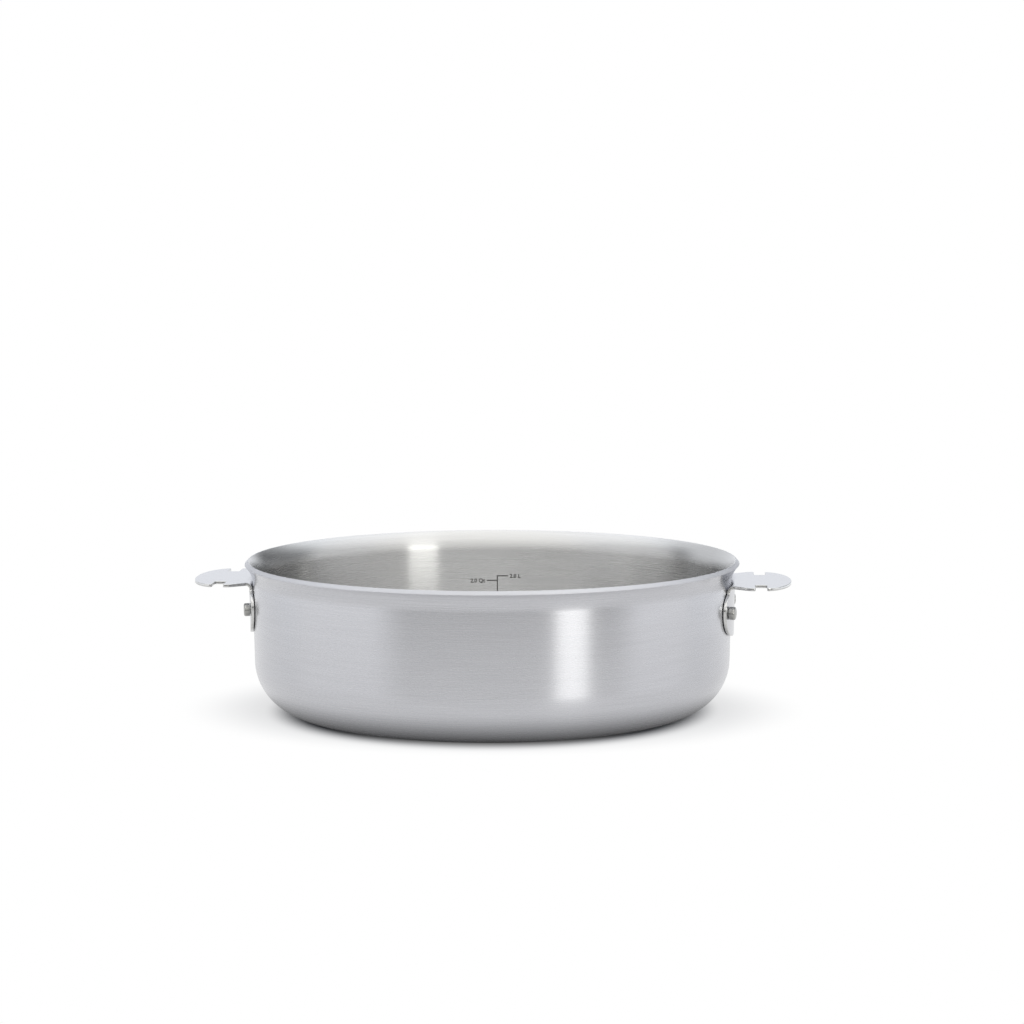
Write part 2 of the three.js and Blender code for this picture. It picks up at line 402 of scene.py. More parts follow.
@dataclass(frozen=True)
class TumbledMetal(Finish):
    """Metal polished in a drum: nearly a mirror, with faint clouds and hairlines."""

    name: str
    colour: Colour
    roughness: float
    cloud_size: float
    cloud_contrast: float
    hairline_size: float
    hairline_depth: float

    def paint(self, board: NodeBoard) -> bpy.types.Node:
        """Clouds in the gloss, and a fine relief.

        Args:
            board: the material's nodes.

        Returns:
            The metal's shader.
        """
        uneven = board.grain((self.cloud_size,) * 3, CLOUD_OCTAVES) - 0.5
        hair = board.grain((self.hairline_size,) * 3, HAIRLINE_OCTAVES, along=1.0)
        return board.add(
            "ShaderNodeBsdfPrincipled",
            inputs={
                "Base Color": board.tint(self.colour, 1.0 + uneven * self.cloud_contrast),
                "Metallic": 1.0,
                "Roughness": self.roughness + uneven * self.cloud_contrast,
                "Normal": board.bump(hair, self.hairline_depth),
            },
        )


@dataclass(frozen=True)
class ShearedEdge(Finish):
    """Cut edge of a blanked sheet: a burnished band above a darker, torn one."""

    name: str
    burnished: Colour
    torn: Colour
    roughness: float
    torn_roughness: float
    middle_height: float
    grain_size: float
    tear_depth: float
    tear_reach: tuple[float, float] = (0.42, 0.62)

    def paint(self, board: NodeBoard) -> bpy.types.Node:
        """Streaks down the cut, torn in patches.

        Args:
            board: the material's nodes.

        Returns:
            The edge's shader.
        """
        streaks = board.grain((self.grain_size, self.grain_size, self.middle_height), BRUSH_OCTAVES)
        tear = streaks.smooth_step(*self.tear_reach)
        return board.add(
            "ShaderNodeBsdfPrincipled",
            inputs={
                "Base Color": board.blend(tear, self.burnished, self.torn),
                "Metallic": 1.0,
                "Roughness": self.roughness + tear * (self.torn_roughness - self.roughness),
                "Normal": board.bump(streaks, self.tear_depth),
            },
        )


@dataclass(frozen=True)
class EtchedMark(Finish):
    """Dark oxide of a mark etched into steel, uneven as it takes on the brush lines."""

    name: str
    dark: Colour
    worn: Colour
    roughness: float
    grain_size: float
    grain_depth: float
    wear_reach: tuple[float, float] = (0.45, 0.7)
    wear_polish: float = 0.2

    def paint(self, board: NodeBoard) -> bpy.types.Node:
        """Dark grains with worn spots between.

        Args:
            board: the material's nodes.

        Returns:
            The mark's shader.
        """
        grain = board.grain((self.grain_size,) * 3, BRUSH_OCTAVES)
        wear = grain.smooth_step(*self.wear_reach)
        return board.add(
            "ShaderNodeBsdfPrincipled",
            inputs={
                "Base Color": board.blend(wear, self.dark, self.worn),
                "Metallic": wear,
                "Roughness": self.roughness - wear * self.wear_polish,
                "Normal": board.bump(grain, self.grain_depth),
            },
        )


OUTSIDE_STEEL = BrushedMetal(
    name="outside_steel_brushed",
    colour=(0.566, 0.569, 0.595),
    roughness=0.274,
    anisotropy=0.868,
    line_pitch=0.35 * MM,
    band_pitch=1.4 * MM,
    streaks_per_turn=26.0,
    line_contrast=0.1,
    band_contrast=0.09,
    groove_depth=0.0015 * MM,
)
INSIDE_STEEL = BrushedMetal(
    name="inside_steel_brushed",
    colour=(0.573, 0.572, 0.567),
    roughness=0.265,
    anisotropy=0.998,
    line_pitch=0.4 * MM,
    band_pitch=1.5 * MM,
    streaks_per_turn=14.0,
    line_contrast=0.08,
    band_contrast=0.12,
    groove_depth=0.002 * MM,
)
LIP_EDGE = BrushedMetal(
    name="lip_edge_trimmed",
    colour=(0.63, 0.634, 0.657),
    roughness=0.677,
    anisotropy=0.635,
    line_pitch=0.3 * MM,
    band_pitch=1.4 * MM,
    streaks_per_turn=60.0,
    line_contrast=0.06,
    band_contrast=0.05,
    groove_depth=0.001 * MM,
)
CORE_ALUMINIUM = BrushedMetal(
    name="core_aluminium_bare",
    colour=(0.72, 0.725, 0.75),
    roughness=0.34,
    anisotropy=0.6,
    line_pitch=0.2 * MM,
    band_pitch=0.9 * MM,
    streaks_per_turn=60.0,
    line_contrast=0.08,
    band_contrast=0.05,
    groove_depth=0.001 * MM,
)
LUG_STEEL = TumbledMetal(
    name="lug_steel_tumbled",
    colour=(0.58, 0.585, 0.615),
    roughness=0.15,
    cloud_size=6.0 * MM,
    cloud_contrast=0.05,
    hairline_size=0.5 * MM,
    hairline_depth=0.0006 * MM,
)
LUG_EDGE = ShearedEdge(
    name="lug_edge_sheared",
    burnished=(0.62, 0.62, 0.615),
    torn=(0.53, 0.53, 0.52),
    roughness=0.2,
    torn_roughness=0.27,
    middle_height=1.2 * MM,
    grain_size=0.8 * MM,
    tear_depth=0.002 * MM,
)
# Darker than the lug's steel: painted shade on the rivet heads.
SHADED_RIVET_STEEL = BrushedMetal(
    name="rivet_steel_turned",
    colour=(0.37, 0.37, 0.355),
    roughness=0.24,
    anisotropy=0.5,
    line_pitch=0.18 * MM,
    band_pitch=0.8 * MM,
    streaks_per_turn=8.0,
    line_contrast=0.10,
    band_contrast=0.08,
    groove_depth=0.002 * MM,
)
SCALE_MARK = EtchedMark(
    name="scale_mark_etched",
    dark=(0.055, 0.054, 0.05),
    worn=(0.2, 0.2, 0.19),
    roughness=0.55,
    grain_size=0.3 * MM,
    grain_depth=0.004 * MM,
)


# Meshes


class MeshDraft:
    """Points and faces of one closed mesh, gathered loop by loop."""

    def __init__(self) -> None:
        """Starts empty."""
        self.points: list[Vector] = []
        self.faces: list[list[int]] = []
        self.finish_of_face: list[int] = []

    def loop(self, points: Sequence[Vector]) -> list[int]:
        """Adds points and returns their numbers."""
        first = len(self.points)
        self.points.extend(points)
        return list(range(first, len(self.points)))

    def face(self, corners: Sequence[int], finish: int = 0) -> None:
        """Adds one face."""
        self.faces.append(list(corners))
        self.finish_of_face.append(finish)

    def bridge(self, first: Sequence[int], second: Sequence[int], finish: int = 0) -> None:
        """Joins two closed loops by a band of faces.

        Args:
            first: a loop of points, or a single pole.
            second: a loop of as many points, or a single pole.
            finish: number of the finish on the band.
        """
        steps = max(len(first), len(second))
        for i in range(steps):
            j = (i + 1) % steps
            ahead = [first[k % len(first)] for k in (i, j)]
            back = [second[k % len(second)] for k in (j, i)]
            self.face(list(dict.fromkeys(ahead + back)), finish)

    def mesh(self, name: str) -> bpy.types.Mesh:
        """Makes the mesh, smooth, with its faces pointing out.

        Args:
            name: name of the mesh.

        Returns:
            The new mesh.
        """
        mesh = bpy.data.meshes.new(name)
        mesh.from_pydata(self.points, [], self.faces)
        for polygon, finish in zip(mesh.polygons, self.finish_of_face):
            polygon.material_index = finish
        draft = bmesh.new()
        draft.from_mesh(mesh)
        bmesh.ops.recalc_face_normals(draft, faces=draft.faces)
        draft.to_mesh(mesh)
        draft.free()
        mesh.shade_smooth()
        mesh.set_sharp_from_angle(angle=SHARP_ANGLE)
        return mesh


def arc(centre: Point, radius: float, start: float, end: float, steps: int) -> list[Point]:
    """Points on an arc.

    Args:
        centre: middle of the arc.
        radius: its radius.
        start: angle of the first point, from the first axis.
        end: angle of the last point.
        steps: stretches between the points.

    Returns:
        The points, both ends included.
    """
    angles = [start + (end - start) * i / steps for i in range(steps + 1)]
    return [(centre[0] + radius * math.cos(a), centre[1] + radius * math.sin(a)) for a in angles]


def bezier(start: Point, lead: Point, trail: Point, end: Point, steps: int) -> list[Point]:
    """Points on a cubic curve.

    Args:
        start: first point.
        lead: handle of the first point.
        trail: handle of the last point.
        end: last point.
        steps: stretches between the points.

    Returns:
        The points, both ends included.
    """
    guides = (start, lead, trail, end)
    points = []
    for i in range(steps + 1):
        t = i / steps
        weights = ((1 - t) ** 3, 3 * t * (1 - t) ** 2, 3 * t * t * (1 - t), t**3)
        points.append(tuple(sum(w * p[axis] for w, p in zip(weights, guides)) for axis in (0, 1)))
    return points


def round_corner(before: Point, corner: Point, after: Point, radius: float, steps: int) -> list[Point]:
    """Rounds the corner of an outline.

    Args:
        before: point on the outline before the corner.
        corner: the sharp corner.
        after: point on the outline after the corner.
        radius: radius of the rounding.
        steps: stretches along it.

    Returns:
        Points that take the corner's place.
    """
    middle = Vector(corner)
    back = (Vector(before) - middle).normalized()
    ahead = (Vector(after) - middle).normalized()
    half = back.angle(ahead) / 2
    run = radius / math.tan(half)
    centre = middle + (back + ahead).normalized() * (radius / math.sin(half))
    first = middle + back * run - centre
    turn = first.angle_signed(middle + ahead * run - centre)
    points = []
    for i in range(steps + 1):
        spot = centre + Matrix.Rotation(-turn * i / steps, 2) @ first
        points.append((spot.x, spot.y))
    return points


def divided(points: Sequence[Point], pitch: float) -> list[Point]:
    """Divides the long stretches of a line.

    Args:
        points: the line's points.
        pitch: longest stretch that is left whole.

    Returns:
        The points with those between them.
    """
    result = []
    for start, end in zip(points, points[1:]):
        steps = max(1, math.ceil(math.dist(start, end) / pitch))
        for i in range(steps):
            result.append(tuple(a + (b - a) * i / steps for a, b in zip(start, end)))
    return [*result, points[-1]]


def inside(spot: Point, rim: Sequence[Point], margin: float) -> bool:
    """Whether a point lies inside an outline and clear of it.

    Args:
        spot: the point.
        rim: the outline, once round.
        margin: least distance to the outline.

    Returns:
        True where it does.
    """
    within = False
    point = Vector(spot)
    for i, (x, y) in enumerate(rim):
        px, py = rim[i - 1]
        if (y > spot[1]) != (py > spot[1]) and spot[0] < (px - x) * (spot[1] - y) / (py - y) + x:
            within = not within
        start, stretch = Vector((px, py)), Vector((x - px, y - py))
        share = (point - start).dot(stretch) / max(stretch.length_squared, LEAST_SQUARE)
        share = max(0.0, min(1.0, share))
        if (point - start - stretch * share).length < margin:
            return False
    return within


def turned(profile: Sequence[Point], steps: int, edge: range = range(0)) -> MeshDraft:
    """Turns a closed profile about the Z axis.

    Args:
        profile: points as radius and height. A run on the axis closes there.
        steps: facets round the axis.
        edge: numbers of the stretches that take the second finish.

    Returns:
        The turned mesh.
    """
    draft = MeshDraft()
    loops = []
    for radius, height in profile:
        count = steps if radius > 0 else 1
        angles = [2 * math.pi * i / steps for i in range(count)]
        ring = [Vector((radius * math.cos(a), radius * math.sin(a), height)) for a in angles]
        loops.append(draft.loop(ring))
    for number, (first, second) in enumerate(zip(loops, loops[1:] + loops[:1])):
        if len(first) > 1 or len(second) > 1:
            draft.bridge(first, second, 1 if number in edge else 0)
    return draft


def new_object(name: str, data: bpy.types.ID) -> bpy.types.Object:
    """Makes an object of a mesh, curve, lamp or camera, and links it to the scene."""
    item = bpy.data.objects.new(name, data)
    bpy.context.scene.collection.objects.link(item)
    return item


def put(
    name: str,
    draft: MeshDraft,
    finishes: Sequence[Finish],
    nodes: Sequence[str] = (),
    place: Optional[Matrix] = None,
) -> None:
    """Makes a piece of the object from a mesh.

    Args:
        name: the piece's name.
        draft: its mesh.
        finishes: its finishes, by number.
        nodes: solids that the piece stands for.
        place: the frame that the mesh is drawn in, where it isn't the pan's own.
    """
    piece = new_object(name, draft.mesh(name))
    for finish in finishes:
        piece.data.materials.append(finish.material())
    if place is not None:
        piece.matrix_world = place
    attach(piece, BODY)
    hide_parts(*nodes)
    solids = ", ".join(nodes) or "no solid"
    LOG.info("%s: %d faces, stands for %s", name, len(piece.data.polygons), solids)


# Pan body


@dataclass
class PanBody:
    """The pressed pan: three plies that follow one section, offset through the sheet."""

    wall_radius: float = 120.0 * MM
    draft: float = math.radians(1.15)
    corner_radius: float = 26.0 * MM
    flare_radius: float = 13.0 * MM
    steel_ply: float = 0.5 * MM
    core_ply: float = 1.5 * MM
    bond_line: float = 0.02 * MM
    edge_round: float = 0.2 * MM
    steps_round: int = 240
    corner_steps: int = 20
    flare_steps: int = 16
    edge_steps: int = 5
    height: float = field(init=False)
    lip_radius: float = field(init=False)
    core_depth: float = field(init=False)
    inner_depth: float = field(init=False)
    sheet: float = field(init=False)
    flare_end: float = field(init=False)
    flare_centre: Point = field(init=False)
    flare_foot: float = field(init=False)
    corner_centre: Point = field(init=False)

    def __post_init__(self) -> None:
        """Takes the height and the lip from the frame, and works out the section."""
        self.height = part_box("inner_steel_ply")[1].z
        self.lip_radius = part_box("outer_steel_ply")[1].x
        overhang = self.lip_radius - self.wall_radius
        self.core_depth = self.steel_ply + self.bond_line
        self.inner_depth = self.core_depth + self.core_ply + self.bond_line
        self.sheet = self.inner_depth + self.steel_ply
        self.flare_end = math.acos(math.cos(self.draft) - overhang / self.flare_radius)
        self.flare_centre = (
            self.wall_radius + self.flare_radius * math.cos(self.draft),
            self.height - (self.flare_radius + self.sheet) * math.sin(self.flare_end),
        )
        self.flare_foot = self.flare_centre[1] + self.flare_radius * math.sin(self.draft)
        corner_top = self.corner_radius * (1 - math.sin(self.draft))
        self.corner_centre = (
            self.wall_at(corner_top) - self.corner_radius * math.cos(self.draft),
            self.corner_radius,
        )

    def wall_at(self, height: float) -> float:
        """Outside radius of the straight wall at a height."""
        return self.wall_radius - (self.flare_foot - height) * math.tan(self.draft)

    def inside_at(self, height: float) -> float:
        """Inside radius of the straight wall at a height."""
        return self.wall_at(height) - self.sheet / math.cos(self.draft)

    def section(self, depth: float) -> list[Point]:
        """One face of the sheet, from the base's middle to the trimmed edge.

        Args:
            depth: depth into the sheet, from outside.

        Returns:
            Points as radius and height.
        """
        bend = self.corner_radius - depth
        corner = arc(self.corner_centre, bend, -math.pi / 2, -self.draft, self.corner_steps)
        start, stop = math.pi - self.draft, math.pi - self.flare_end
        flare = arc(self.flare_centre, self.flare_radius + depth, start, stop, self.flare_steps)
        return [(0.0, depth), *corner, *flare]

    def ply(self, depth: float, thickness: float, round_outer: bool, round_inner: bool) -> MeshDraft:
        """One ply of the sheet.

        Args:
            depth: depth of its outer face.
            thickness: its thickness.
            round_outer: whether its trimmed edge is rounded on the outside.
            round_inner: whether its trimmed edge is rounded on the inside.

        Returns:
            The ply's mesh.
        """
        outer = self.section(depth)
        inner = self.section(depth + thickness)
        low, high = outer[-1], inner[-1]
        rounding = (self.edge_round, self.edge_steps)
        edge = round_corner(outer[-2], low, high, *rounding) if round_outer else [low]
        edge += round_corner(low, high, inner[-2], *rounding) if round_inner else [high]
        first = len(outer) - 1
        trimmed = range(first, first + len(edge) - 1)
        return turned([*outer[:-1], *edge, *reversed(inner[:-1])], self.steps_round, trimmed)

    def build(self) -> None:
        """Makes and dresses the three plies."""
        outer = self.ply(0.0, self.steel_ply, round_outer=True, round_inner=False)
        core = self.ply(self.core_depth, self.core_ply, round_outer=False, round_inner=False)
        inner = self.ply(self.inner_depth, self.steel_ply, round_outer=False, round_inner=True)
        put("outer_ply_brushed", outer, [OUTSIDE_STEEL, LIP_EDGE], ["outer_steel_ply"])
        put("core_ply_trimmed", core, [CORE_ALUMINIUM, LIP_EDGE], ["aluminium_core"])
        put("inner_ply_brushed", inner, [INSIDE_STEEL, LIP_EDGE], ["inner_steel_ply"])


# Lugs and rivets


class Side(Enum):
    """Which way a lug points."""

    RIGHT = "right"
    LEFT = "left"

    @property
    def turn(self) -> Matrix:
        """Turns a lug drawn on the +X side to its own side."""
        return Matrix.Rotation(0.0 if self is Side.RIGHT else math.pi, 4, "Z")

    def rivet_name(self, angle: float) -> str:
        """Name of the rivet at an angle from the lug's middle."""
        forward = (angle < 0) == (self is Side.RIGHT)
        return f"rivet_{self.value}_{'front' if forward else 'back'}"


@dataclass
class Rivets:
    """The two rivets of a lug, each with a low dome inside the pan and a stubby head outside."""

    pan: PanBody
    height: float
    angle: float
    seat: float
    shank_radius: float = 2.0 * MM
    head_radius: float = 3.25 * MM
    head_height: float = 2.9 * MM
    head_round: float = 0.8 * MM
    heel_round: float = 0.2 * MM
    dome_radius: float = 5.5 * MM
    dome_height: float = 1.7 * MM
    dome_rim: float = 0.5 * MM
    gap: float = 0.2 * MM
    steps_round: int = 64
    dome_steps: int = 12
    rim_steps: int = 4
    heel_steps: int = 3
    crown_steps: int = 8

    def profile(self) -> list[Point]:
        """The rivet's section, as radius and distance out of the pan's wall."""
        wall = self.pan.inside_at(self.height)
        curve = wall - math.sqrt(wall**2 - self.dome_radius**2)
        inner = -(self.pan.sheet + curve + self.gap)
        rise = self.dome_height - self.dome_rim
        sphere = (self.dome_radius**2 + rise**2) / (2 * rise)
        edge_angle = -math.acos(self.dome_radius / sphere)
        middle = (0.0, inner - self.dome_height + sphere)
        dome = arc(middle, sphere, -math.pi / 2, edge_angle, self.dome_steps)
        brim = (self.dome_radius, inner)
        outer = self.seat + self.gap
        top = outer + self.head_height
        heel = (self.head_radius, outer)
        crown = (self.head_radius, top)
        return [
            (0.0, inner - self.dome_height),
            *dome[1:-1],
            *round_corner(dome[-2], dome[-1], brim, self.heel_round, self.rim_steps),
            brim,
            (self.shank_radius, inner),
            (self.shank_radius, outer),
            *round_corner((0.0, outer), heel, crown, self.heel_round, self.heel_steps),
            *round_corner(heel, crown, (0.0, top), self.head_round, self.crown_steps),
            (0.0, top),
        ]

    def frame_at(self, angle: float) -> Matrix:
        """A frame on the wall's outside, with +Z along the rivet and out of the pan.

        Args:
            angle: angle from the lug's middle.

        Returns:
            The frame, for a lug on the +X side.
        """
        outward = Vector((math.cos(angle), math.sin(angle), 0.0))
        place = outward * self.pan.wall_at(self.height) + Vector((0, 0, self.height))
        normal = outward * math.cos(self.pan.draft) - Vector((0, 0, math.sin(self.pan.draft)))
        sideways = Vector((-math.sin(angle), math.cos(angle), 0.0))
        turn = Matrix((sideways, normal.cross(sideways), normal)).transposed()
        return Matrix.Translation(place) @ turn.to_4x4()

    def build(self, side: Side) -> None:
        """Makes and dresses both rivets of one lug.

        Args:
            side: the lug's side.
        """
        for angle in (-self.angle, self.angle):
            node = side.rivet_name(angle)
            place = side.turn @ self.frame_at(angle)
            draft = turned(self.profile(), self.steps_round)
            put(f"{node}_turned", draft, [SHADED_RIVET_STEEL], [node], place)


@dataclass
class Lug:
    """A blanked plate with two notches, bent over a neck into an apron that follows the pan's wall.

    It is drawn flat first: s runs out from the start of the plate, and below zero round the bend and
    down the apron; v runs across. The flat sheet is then bent to its place on the +X side.
    """

    pan: PanBody
    sheet: float = 1.5 * MM
    bend_radius: float = 1.8 * MM
    standoff: float = 0.25 * MM
    neck_width: float = 50.0 * MM
    plate_width: float = 63.0 * MM
    nose_length: float = 15.4 * MM
    nose_fullness: float = 0.58
    flank_swell: float = 0.75
    notch_width: float = 5.7 * MM
    notch_span: float = 38.6 * MM
    flange_width: float = 64.0 * MM
    flange_depth: float = 27.0 * MM
    shoulder_drop: float = 11.8 * MM
    flange_fullness: float = 0.7
    flange_neck_fullness: float = 0.8
    rivet_drop: float = 13.2 * MM
    rivet_edge: float = 6.5 * MM
    boss_radius: float = 5.8 * MM
    boss_taper: float = 0.8 * MM
    boss_gap: float = 0.1 * MM
    edge_round: float = 0.26 * MM
    support: float = 0.4 * MM
    notch_round: float = 0.8 * MM
    mesh_pitch: float = 2.4 * MM
    rim_clearance: float = 0.3 * MM
    boss_clearance: float = 0.8 * MM
    nose_steps: int = 36
    flank_steps: int = 24
    neck_steps: int = 12
    waist_steps: int = 36
    apron_steps: int = 30
    notch_steps: int = 6
    edge_steps: int = 4
    bend_rows: int = 14
    boss_steps: int = 28
    top: float = field(init=False)
    tip: float = field(init=False)
    notch_line: float = field(init=False)
    face_out: float = field(init=False)
    bend_height: float = field(init=False)
    bend_end: float = field(init=False)
    bend_angle: float = field(init=False)
    bend_length: float = field(init=False)
    neutral: float = field(init=False)
    rivet_height: float = field(init=False)
    rivet_angle: float = field(init=False)

    def __post_init__(self) -> None:
        """Takes the plate's height and tip from the frame, and works out the bend."""
        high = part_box("lug_right")[1]
        self.top, self.tip = high.z, high.x
        self.notch_line = self.tip - self.nose_length
        self.face_out = self.standoff + self.sheet
        self.bend_height = self.top - self.sheet - self.bend_radius
        lean = math.cos(self.pan.draft)
        foot = self.bend_height + self.bend_radius * math.sin(self.pan.draft)
        self.bend_end = self.pan.wall_at(foot) + self.face_out / lean + self.bend_radius * lean
        self.bend_angle = math.pi / 2 - self.pan.draft
        self.neutral = self.bend_radius + self.sheet / 2
        self.bend_length = self.neutral * self.bend_angle
        self.rivet_height = self.top - self.rivet_drop
        flange_radius = self.pan.wall_at(self.rivet_height) + self.face_out
        self.rivet_angle = math.asin((self.flange_width / 2 - self.rivet_edge) / flange_radius)

    def from_plan(self, spot: Point) -> Point:
        """A point of the plate, given from above, on the flat sheet."""
        return spot[0] - math.sqrt(self.bend_end**2 - spot[1] ** 2), spot[1]

    def from_elevation(self, spot: Point) -> Point:
        """A point of the apron, given from outside as (across, height), on the flat sheet."""
        across, height = spot
        foot = self.bend_height + self.neutral * math.sin(self.pan.draft)
        if height > foot:
            return -self.neutral * math.acos((height - self.bend_height) / self.neutral), across
        return -self.bend_length - (foot - height) / math.cos(self.pan.draft), across

    def bent(self, spot: Point, depth: float) -> Vector:
        """Where a point of the flat sheet comes to lie.

        Args:
            spot: (s, v) on the flat sheet.
            depth: distance from the plate's underside towards its top.

        Returns:
            The point, for a lug on the +X side.
        """
        s, v = spot
        if s >= 0:
            return Vector((math.sqrt(self.bend_end**2 - v * v) + s, v, self.top - self.sheet + depth))
        angle = min(-s / self.neutral, self.bend_angle)
        straight = max(-s - self.bend_length, 0.0)
        reach = self.bend_radius + depth
        radius = self.bend_end - reach * math.sin(angle) - straight * math.sin(self.pan.draft)
        height = self.bend_height + reach * math.cos(angle) - straight * math.cos(self.pan.draft)
        return Vector((math.sqrt(radius * radius - v * v), v, height))

    def notch(self, nose: list[Point], flank: list[Point]) -> list[Point]:
        """The outline from the nose through a notch and along the flank.

        Args:
            nose: points from the tip to the plate's widest line, from above.
            flank: points from there to the neck.

        Returns:
            The points, with the notch's corners rounded.
        """
        half, floor = self.notch_width / 2, self.notch_span / 2
        outer, inner = self.notch_line + half, self.notch_line - half
        clear = 2 * self.notch_round
        kept_nose = [p for p in nose if p[0] > outer + clear]
        kept_flank = [p for p in flank if p[0] < inner - clear]
        outer_mouth = (outer, min(nose, key=lambda p: abs(p[0] - outer))[1])
        inner_mouth = (inner, min(flank, key=lambda p: abs(p[0] - inner))[1])
        route = [kept_nose[-1], outer_mouth, (outer, floor), (inner, floor), inner_mouth, kept_flank[0]]
        rounded = []
        for before, corner, after in zip(route, route[1:], route[2:]):
            rounded += round_corner(before, corner, after, self.notch_round, self.notch_steps)
        return [*kept_nose, *divided(rounded, self.notch_round * 2), *kept_flank]

    def outline(self) -> list[Point]:
        """The flat sheet's outline, once round."""
        half, neck = self.plate_width / 2, self.neck_width / 2
        root = math.sqrt(self.bend_end**2 - neck**2)
        run = (self.notch_line - root) / 2
        fullness = self.nose_fullness
        nose = bezier(
            (self.tip, 0.0),
            (self.tip, half * fullness),
            (self.notch_line + self.nose_length * fullness, half),
            (self.notch_line, half),
            self.nose_steps,
        )
        swell = neck + (half - neck) * self.flank_swell
        flank = bezier(
            (self.notch_line, half),
            (self.notch_line - run, half),
            (root + run, swell),
            (root, neck),
            self.flank_steps,
        )
        plate = [self.from_plan(p) for p in self.notch(nose, flank)]
        shoulder, low = self.top - self.shoulder_drop, self.top - self.flange_depth
        neck_foot = self.bend_height + self.neutral
        turn = shoulder + (self.bend_height - shoulder) * self.flange_neck_fullness
        wide = self.flange_width / 2
        bend = divided([(neck, neck_foot), (neck, self.bend_height)], self.neutral / self.neck_steps)
        waist = bezier(bend[-1], (neck, turn), (wide, turn), (wide, shoulder), self.waist_steps)
        fullness = self.flange_fullness
        apron = bezier(
            (wide, shoulder),
            (wide, shoulder - (shoulder - low) * fullness),
            (wide * fullness, low),
            (0.0, low),
            self.apron_steps,
        )
        flange = [self.from_elevation(p) for p in (*bend[1:], *waist[1:], *apron[1:])]
        side = [*plate, *flange]
        return [*side, *((s, -v) for s, v in reversed(side[1:-1]))]

    @staticmethod
    def inset(outline: Sequence[Point], amount: float) -> list[Point]:
        """An outline moved in towards its sheet.

        Args:
            outline: points once round, with the sheet on their left or right throughout.
            amount: how far in.

        Returns:
            As many points.
        """
        before = [outline[-1], *outline[:-1]]
        after = [*outline[1:], outline[0]]
        area = sum(a[0] * b[1] - b[0] * a[1] for a, b in zip(outline, after))
        turn = math.copysign(amount, area)
        moved = []
        for last, spot, following in zip(before, outline, after):
            here = Vector(spot)
            back = (here - Vector(last)).normalized()
            ahead = (Vector(following) - here).normalized()
            inward = (back + ahead).orthogonal() * (turn / (1 + back.dot(ahead)))
            moved.append((spot[0] + inward.x, spot[1] + inward.y))
        return moved

    def rivet_spots(self) -> list[Point]:
        """The rivets' places on the flat sheet."""
        radius = self.pan.wall_at(self.rivet_height) + self.standoff
        across = radius * math.sin(self.rivet_angle)
        return [self.from_elevation((side * across, self.rivet_height)) for side in (-1, 1)]

    def boss_rise(self, spot: Point) -> float:
        """How far the sheet's wall side is pressed out at a point, round the rivets."""
        nearest = min(math.dist(spot, rivet) for rivet in self.rivet_spots())
        share = (self.boss_radius - nearest) / self.boss_taper
        return max(0.0, min(1.0, share)) * (self.standoff - self.boss_gap)

    def grid(self, rim: Sequence[Point]) -> list[Point]:
        """Points inside the sheet, closer together where it bends.

        Args:
            rim: the outline that the points keep clear of.

        Returns:
            The points.
        """
        pitch, bend = self.mesh_pitch, self.bend_length
        out = self.tip - self.bend_end
        down = -min(s for s, _ in rim) - bend
        rows = [-bend * i / self.bend_rows for i in range(self.bend_rows + 1)]
        rows += [pitch * i for i in range(1, int(out / pitch) + 2)]
        rows += [-bend - pitch * i for i in range(1, int(down / pitch) + 1)]
        half = int(max(self.plate_width, self.flange_width) / 2 / pitch) + 1
        spots = [(s, pitch * i) for s in rows for i in range(-half, half + 1)]
        bosses = self.rivet_spots()
        far = self.boss_radius + self.boss_clearance
        spots = [p for p in spots if min(math.dist(p, boss) for boss in bosses) > far]
        last = self.boss_steps - 1
        for boss in bosses:
            spots.append(boss)
            for radius in (self.boss_radius, self.boss_radius - self.boss_taper):
                spots += arc(boss, radius, 0.0, 2 * math.pi * last / self.boss_steps, last)
        return [p for p in spots if inside(p, rim, self.rim_clearance)]

    def edge(self, draft: MeshDraft, outline: Sequence[Point]) -> list[list[int]]:
        """Adds the sheet's rounded edge.

        Args:
            draft: the lug's mesh.
            outline: the flat sheet's outline.

        Returns:
            The edge's loops, from the underside's rim to the rim on top.
        """
        rounding = arc((0.0, 0.0), self.edge_round, 0.0, math.pi / 2, self.edge_steps)
        steps = [(self.edge_round - out, self.edge_round - up) for out, up in rounding]
        lower = [(self.support, 0.0), *reversed(steps)]
        upper = [(inward, self.sheet - depth) for inward, depth in reversed(lower)]
        loops = []
        for inward, depth in (*lower, *upper):
            loops.append(draft.loop([self.bent(spot, depth) for spot in self.inset(outline, inward)]))
        for number, (first, second) in enumerate(zip(loops, loops[1:])):
            flat = number in (0, len(loops) - 2)
            draft.bridge(first, second, 0 if flat else 1)
        return loops

    def draft(self) -> MeshDraft:
        """The bent sheet with rounded edges."""
        draft = MeshDraft()
        outline = self.outline()
        loops = self.edge(draft, outline)
        rim = self.inset(outline, self.support)
        count = len(rim)
        flat = [Vector(p) for p in (*rim, *self.grid(rim))]
        points, _, faces, origins, _, _ = delaunay_2d_cdt(
            flat, [], [list(range(count))], INSIDE_ONLY, MERGE_DISTANCE
        )
        for loop, top in ((loops[0], False), (loops[-1], True)):
            numbers = {}
            for i, point in enumerate(points):
                origin = min(origins[i])
                if origin < count:
                    numbers[i] = loop[origin]
                    continue
                spot = (point.x, point.y)
                depth = self.sheet + self.boss_rise(spot) if top else 0.0
                numbers[i] = draft.loop([self.bent(spot, depth)])[0]
            for corners in faces:
                draft.face([numbers[i] for i in corners])
        return draft

    def build(self, side: Side) -> None:
        """Makes and dresses one lug and its rivets.

        Args:
            side: the lug's side.
        """
        draft = self.draft()
        draft.points = [side.turn @ point for point in draft.points]
        node = f"lug_{side.value}"
        put(f"{node}_bent", draft, [LUG_STEEL, LUG_EDGE], [node])
        Rivets(self.pan, self.rivet_height, self.rivet_angle, self.face_out).build(side)


# Capacity scale


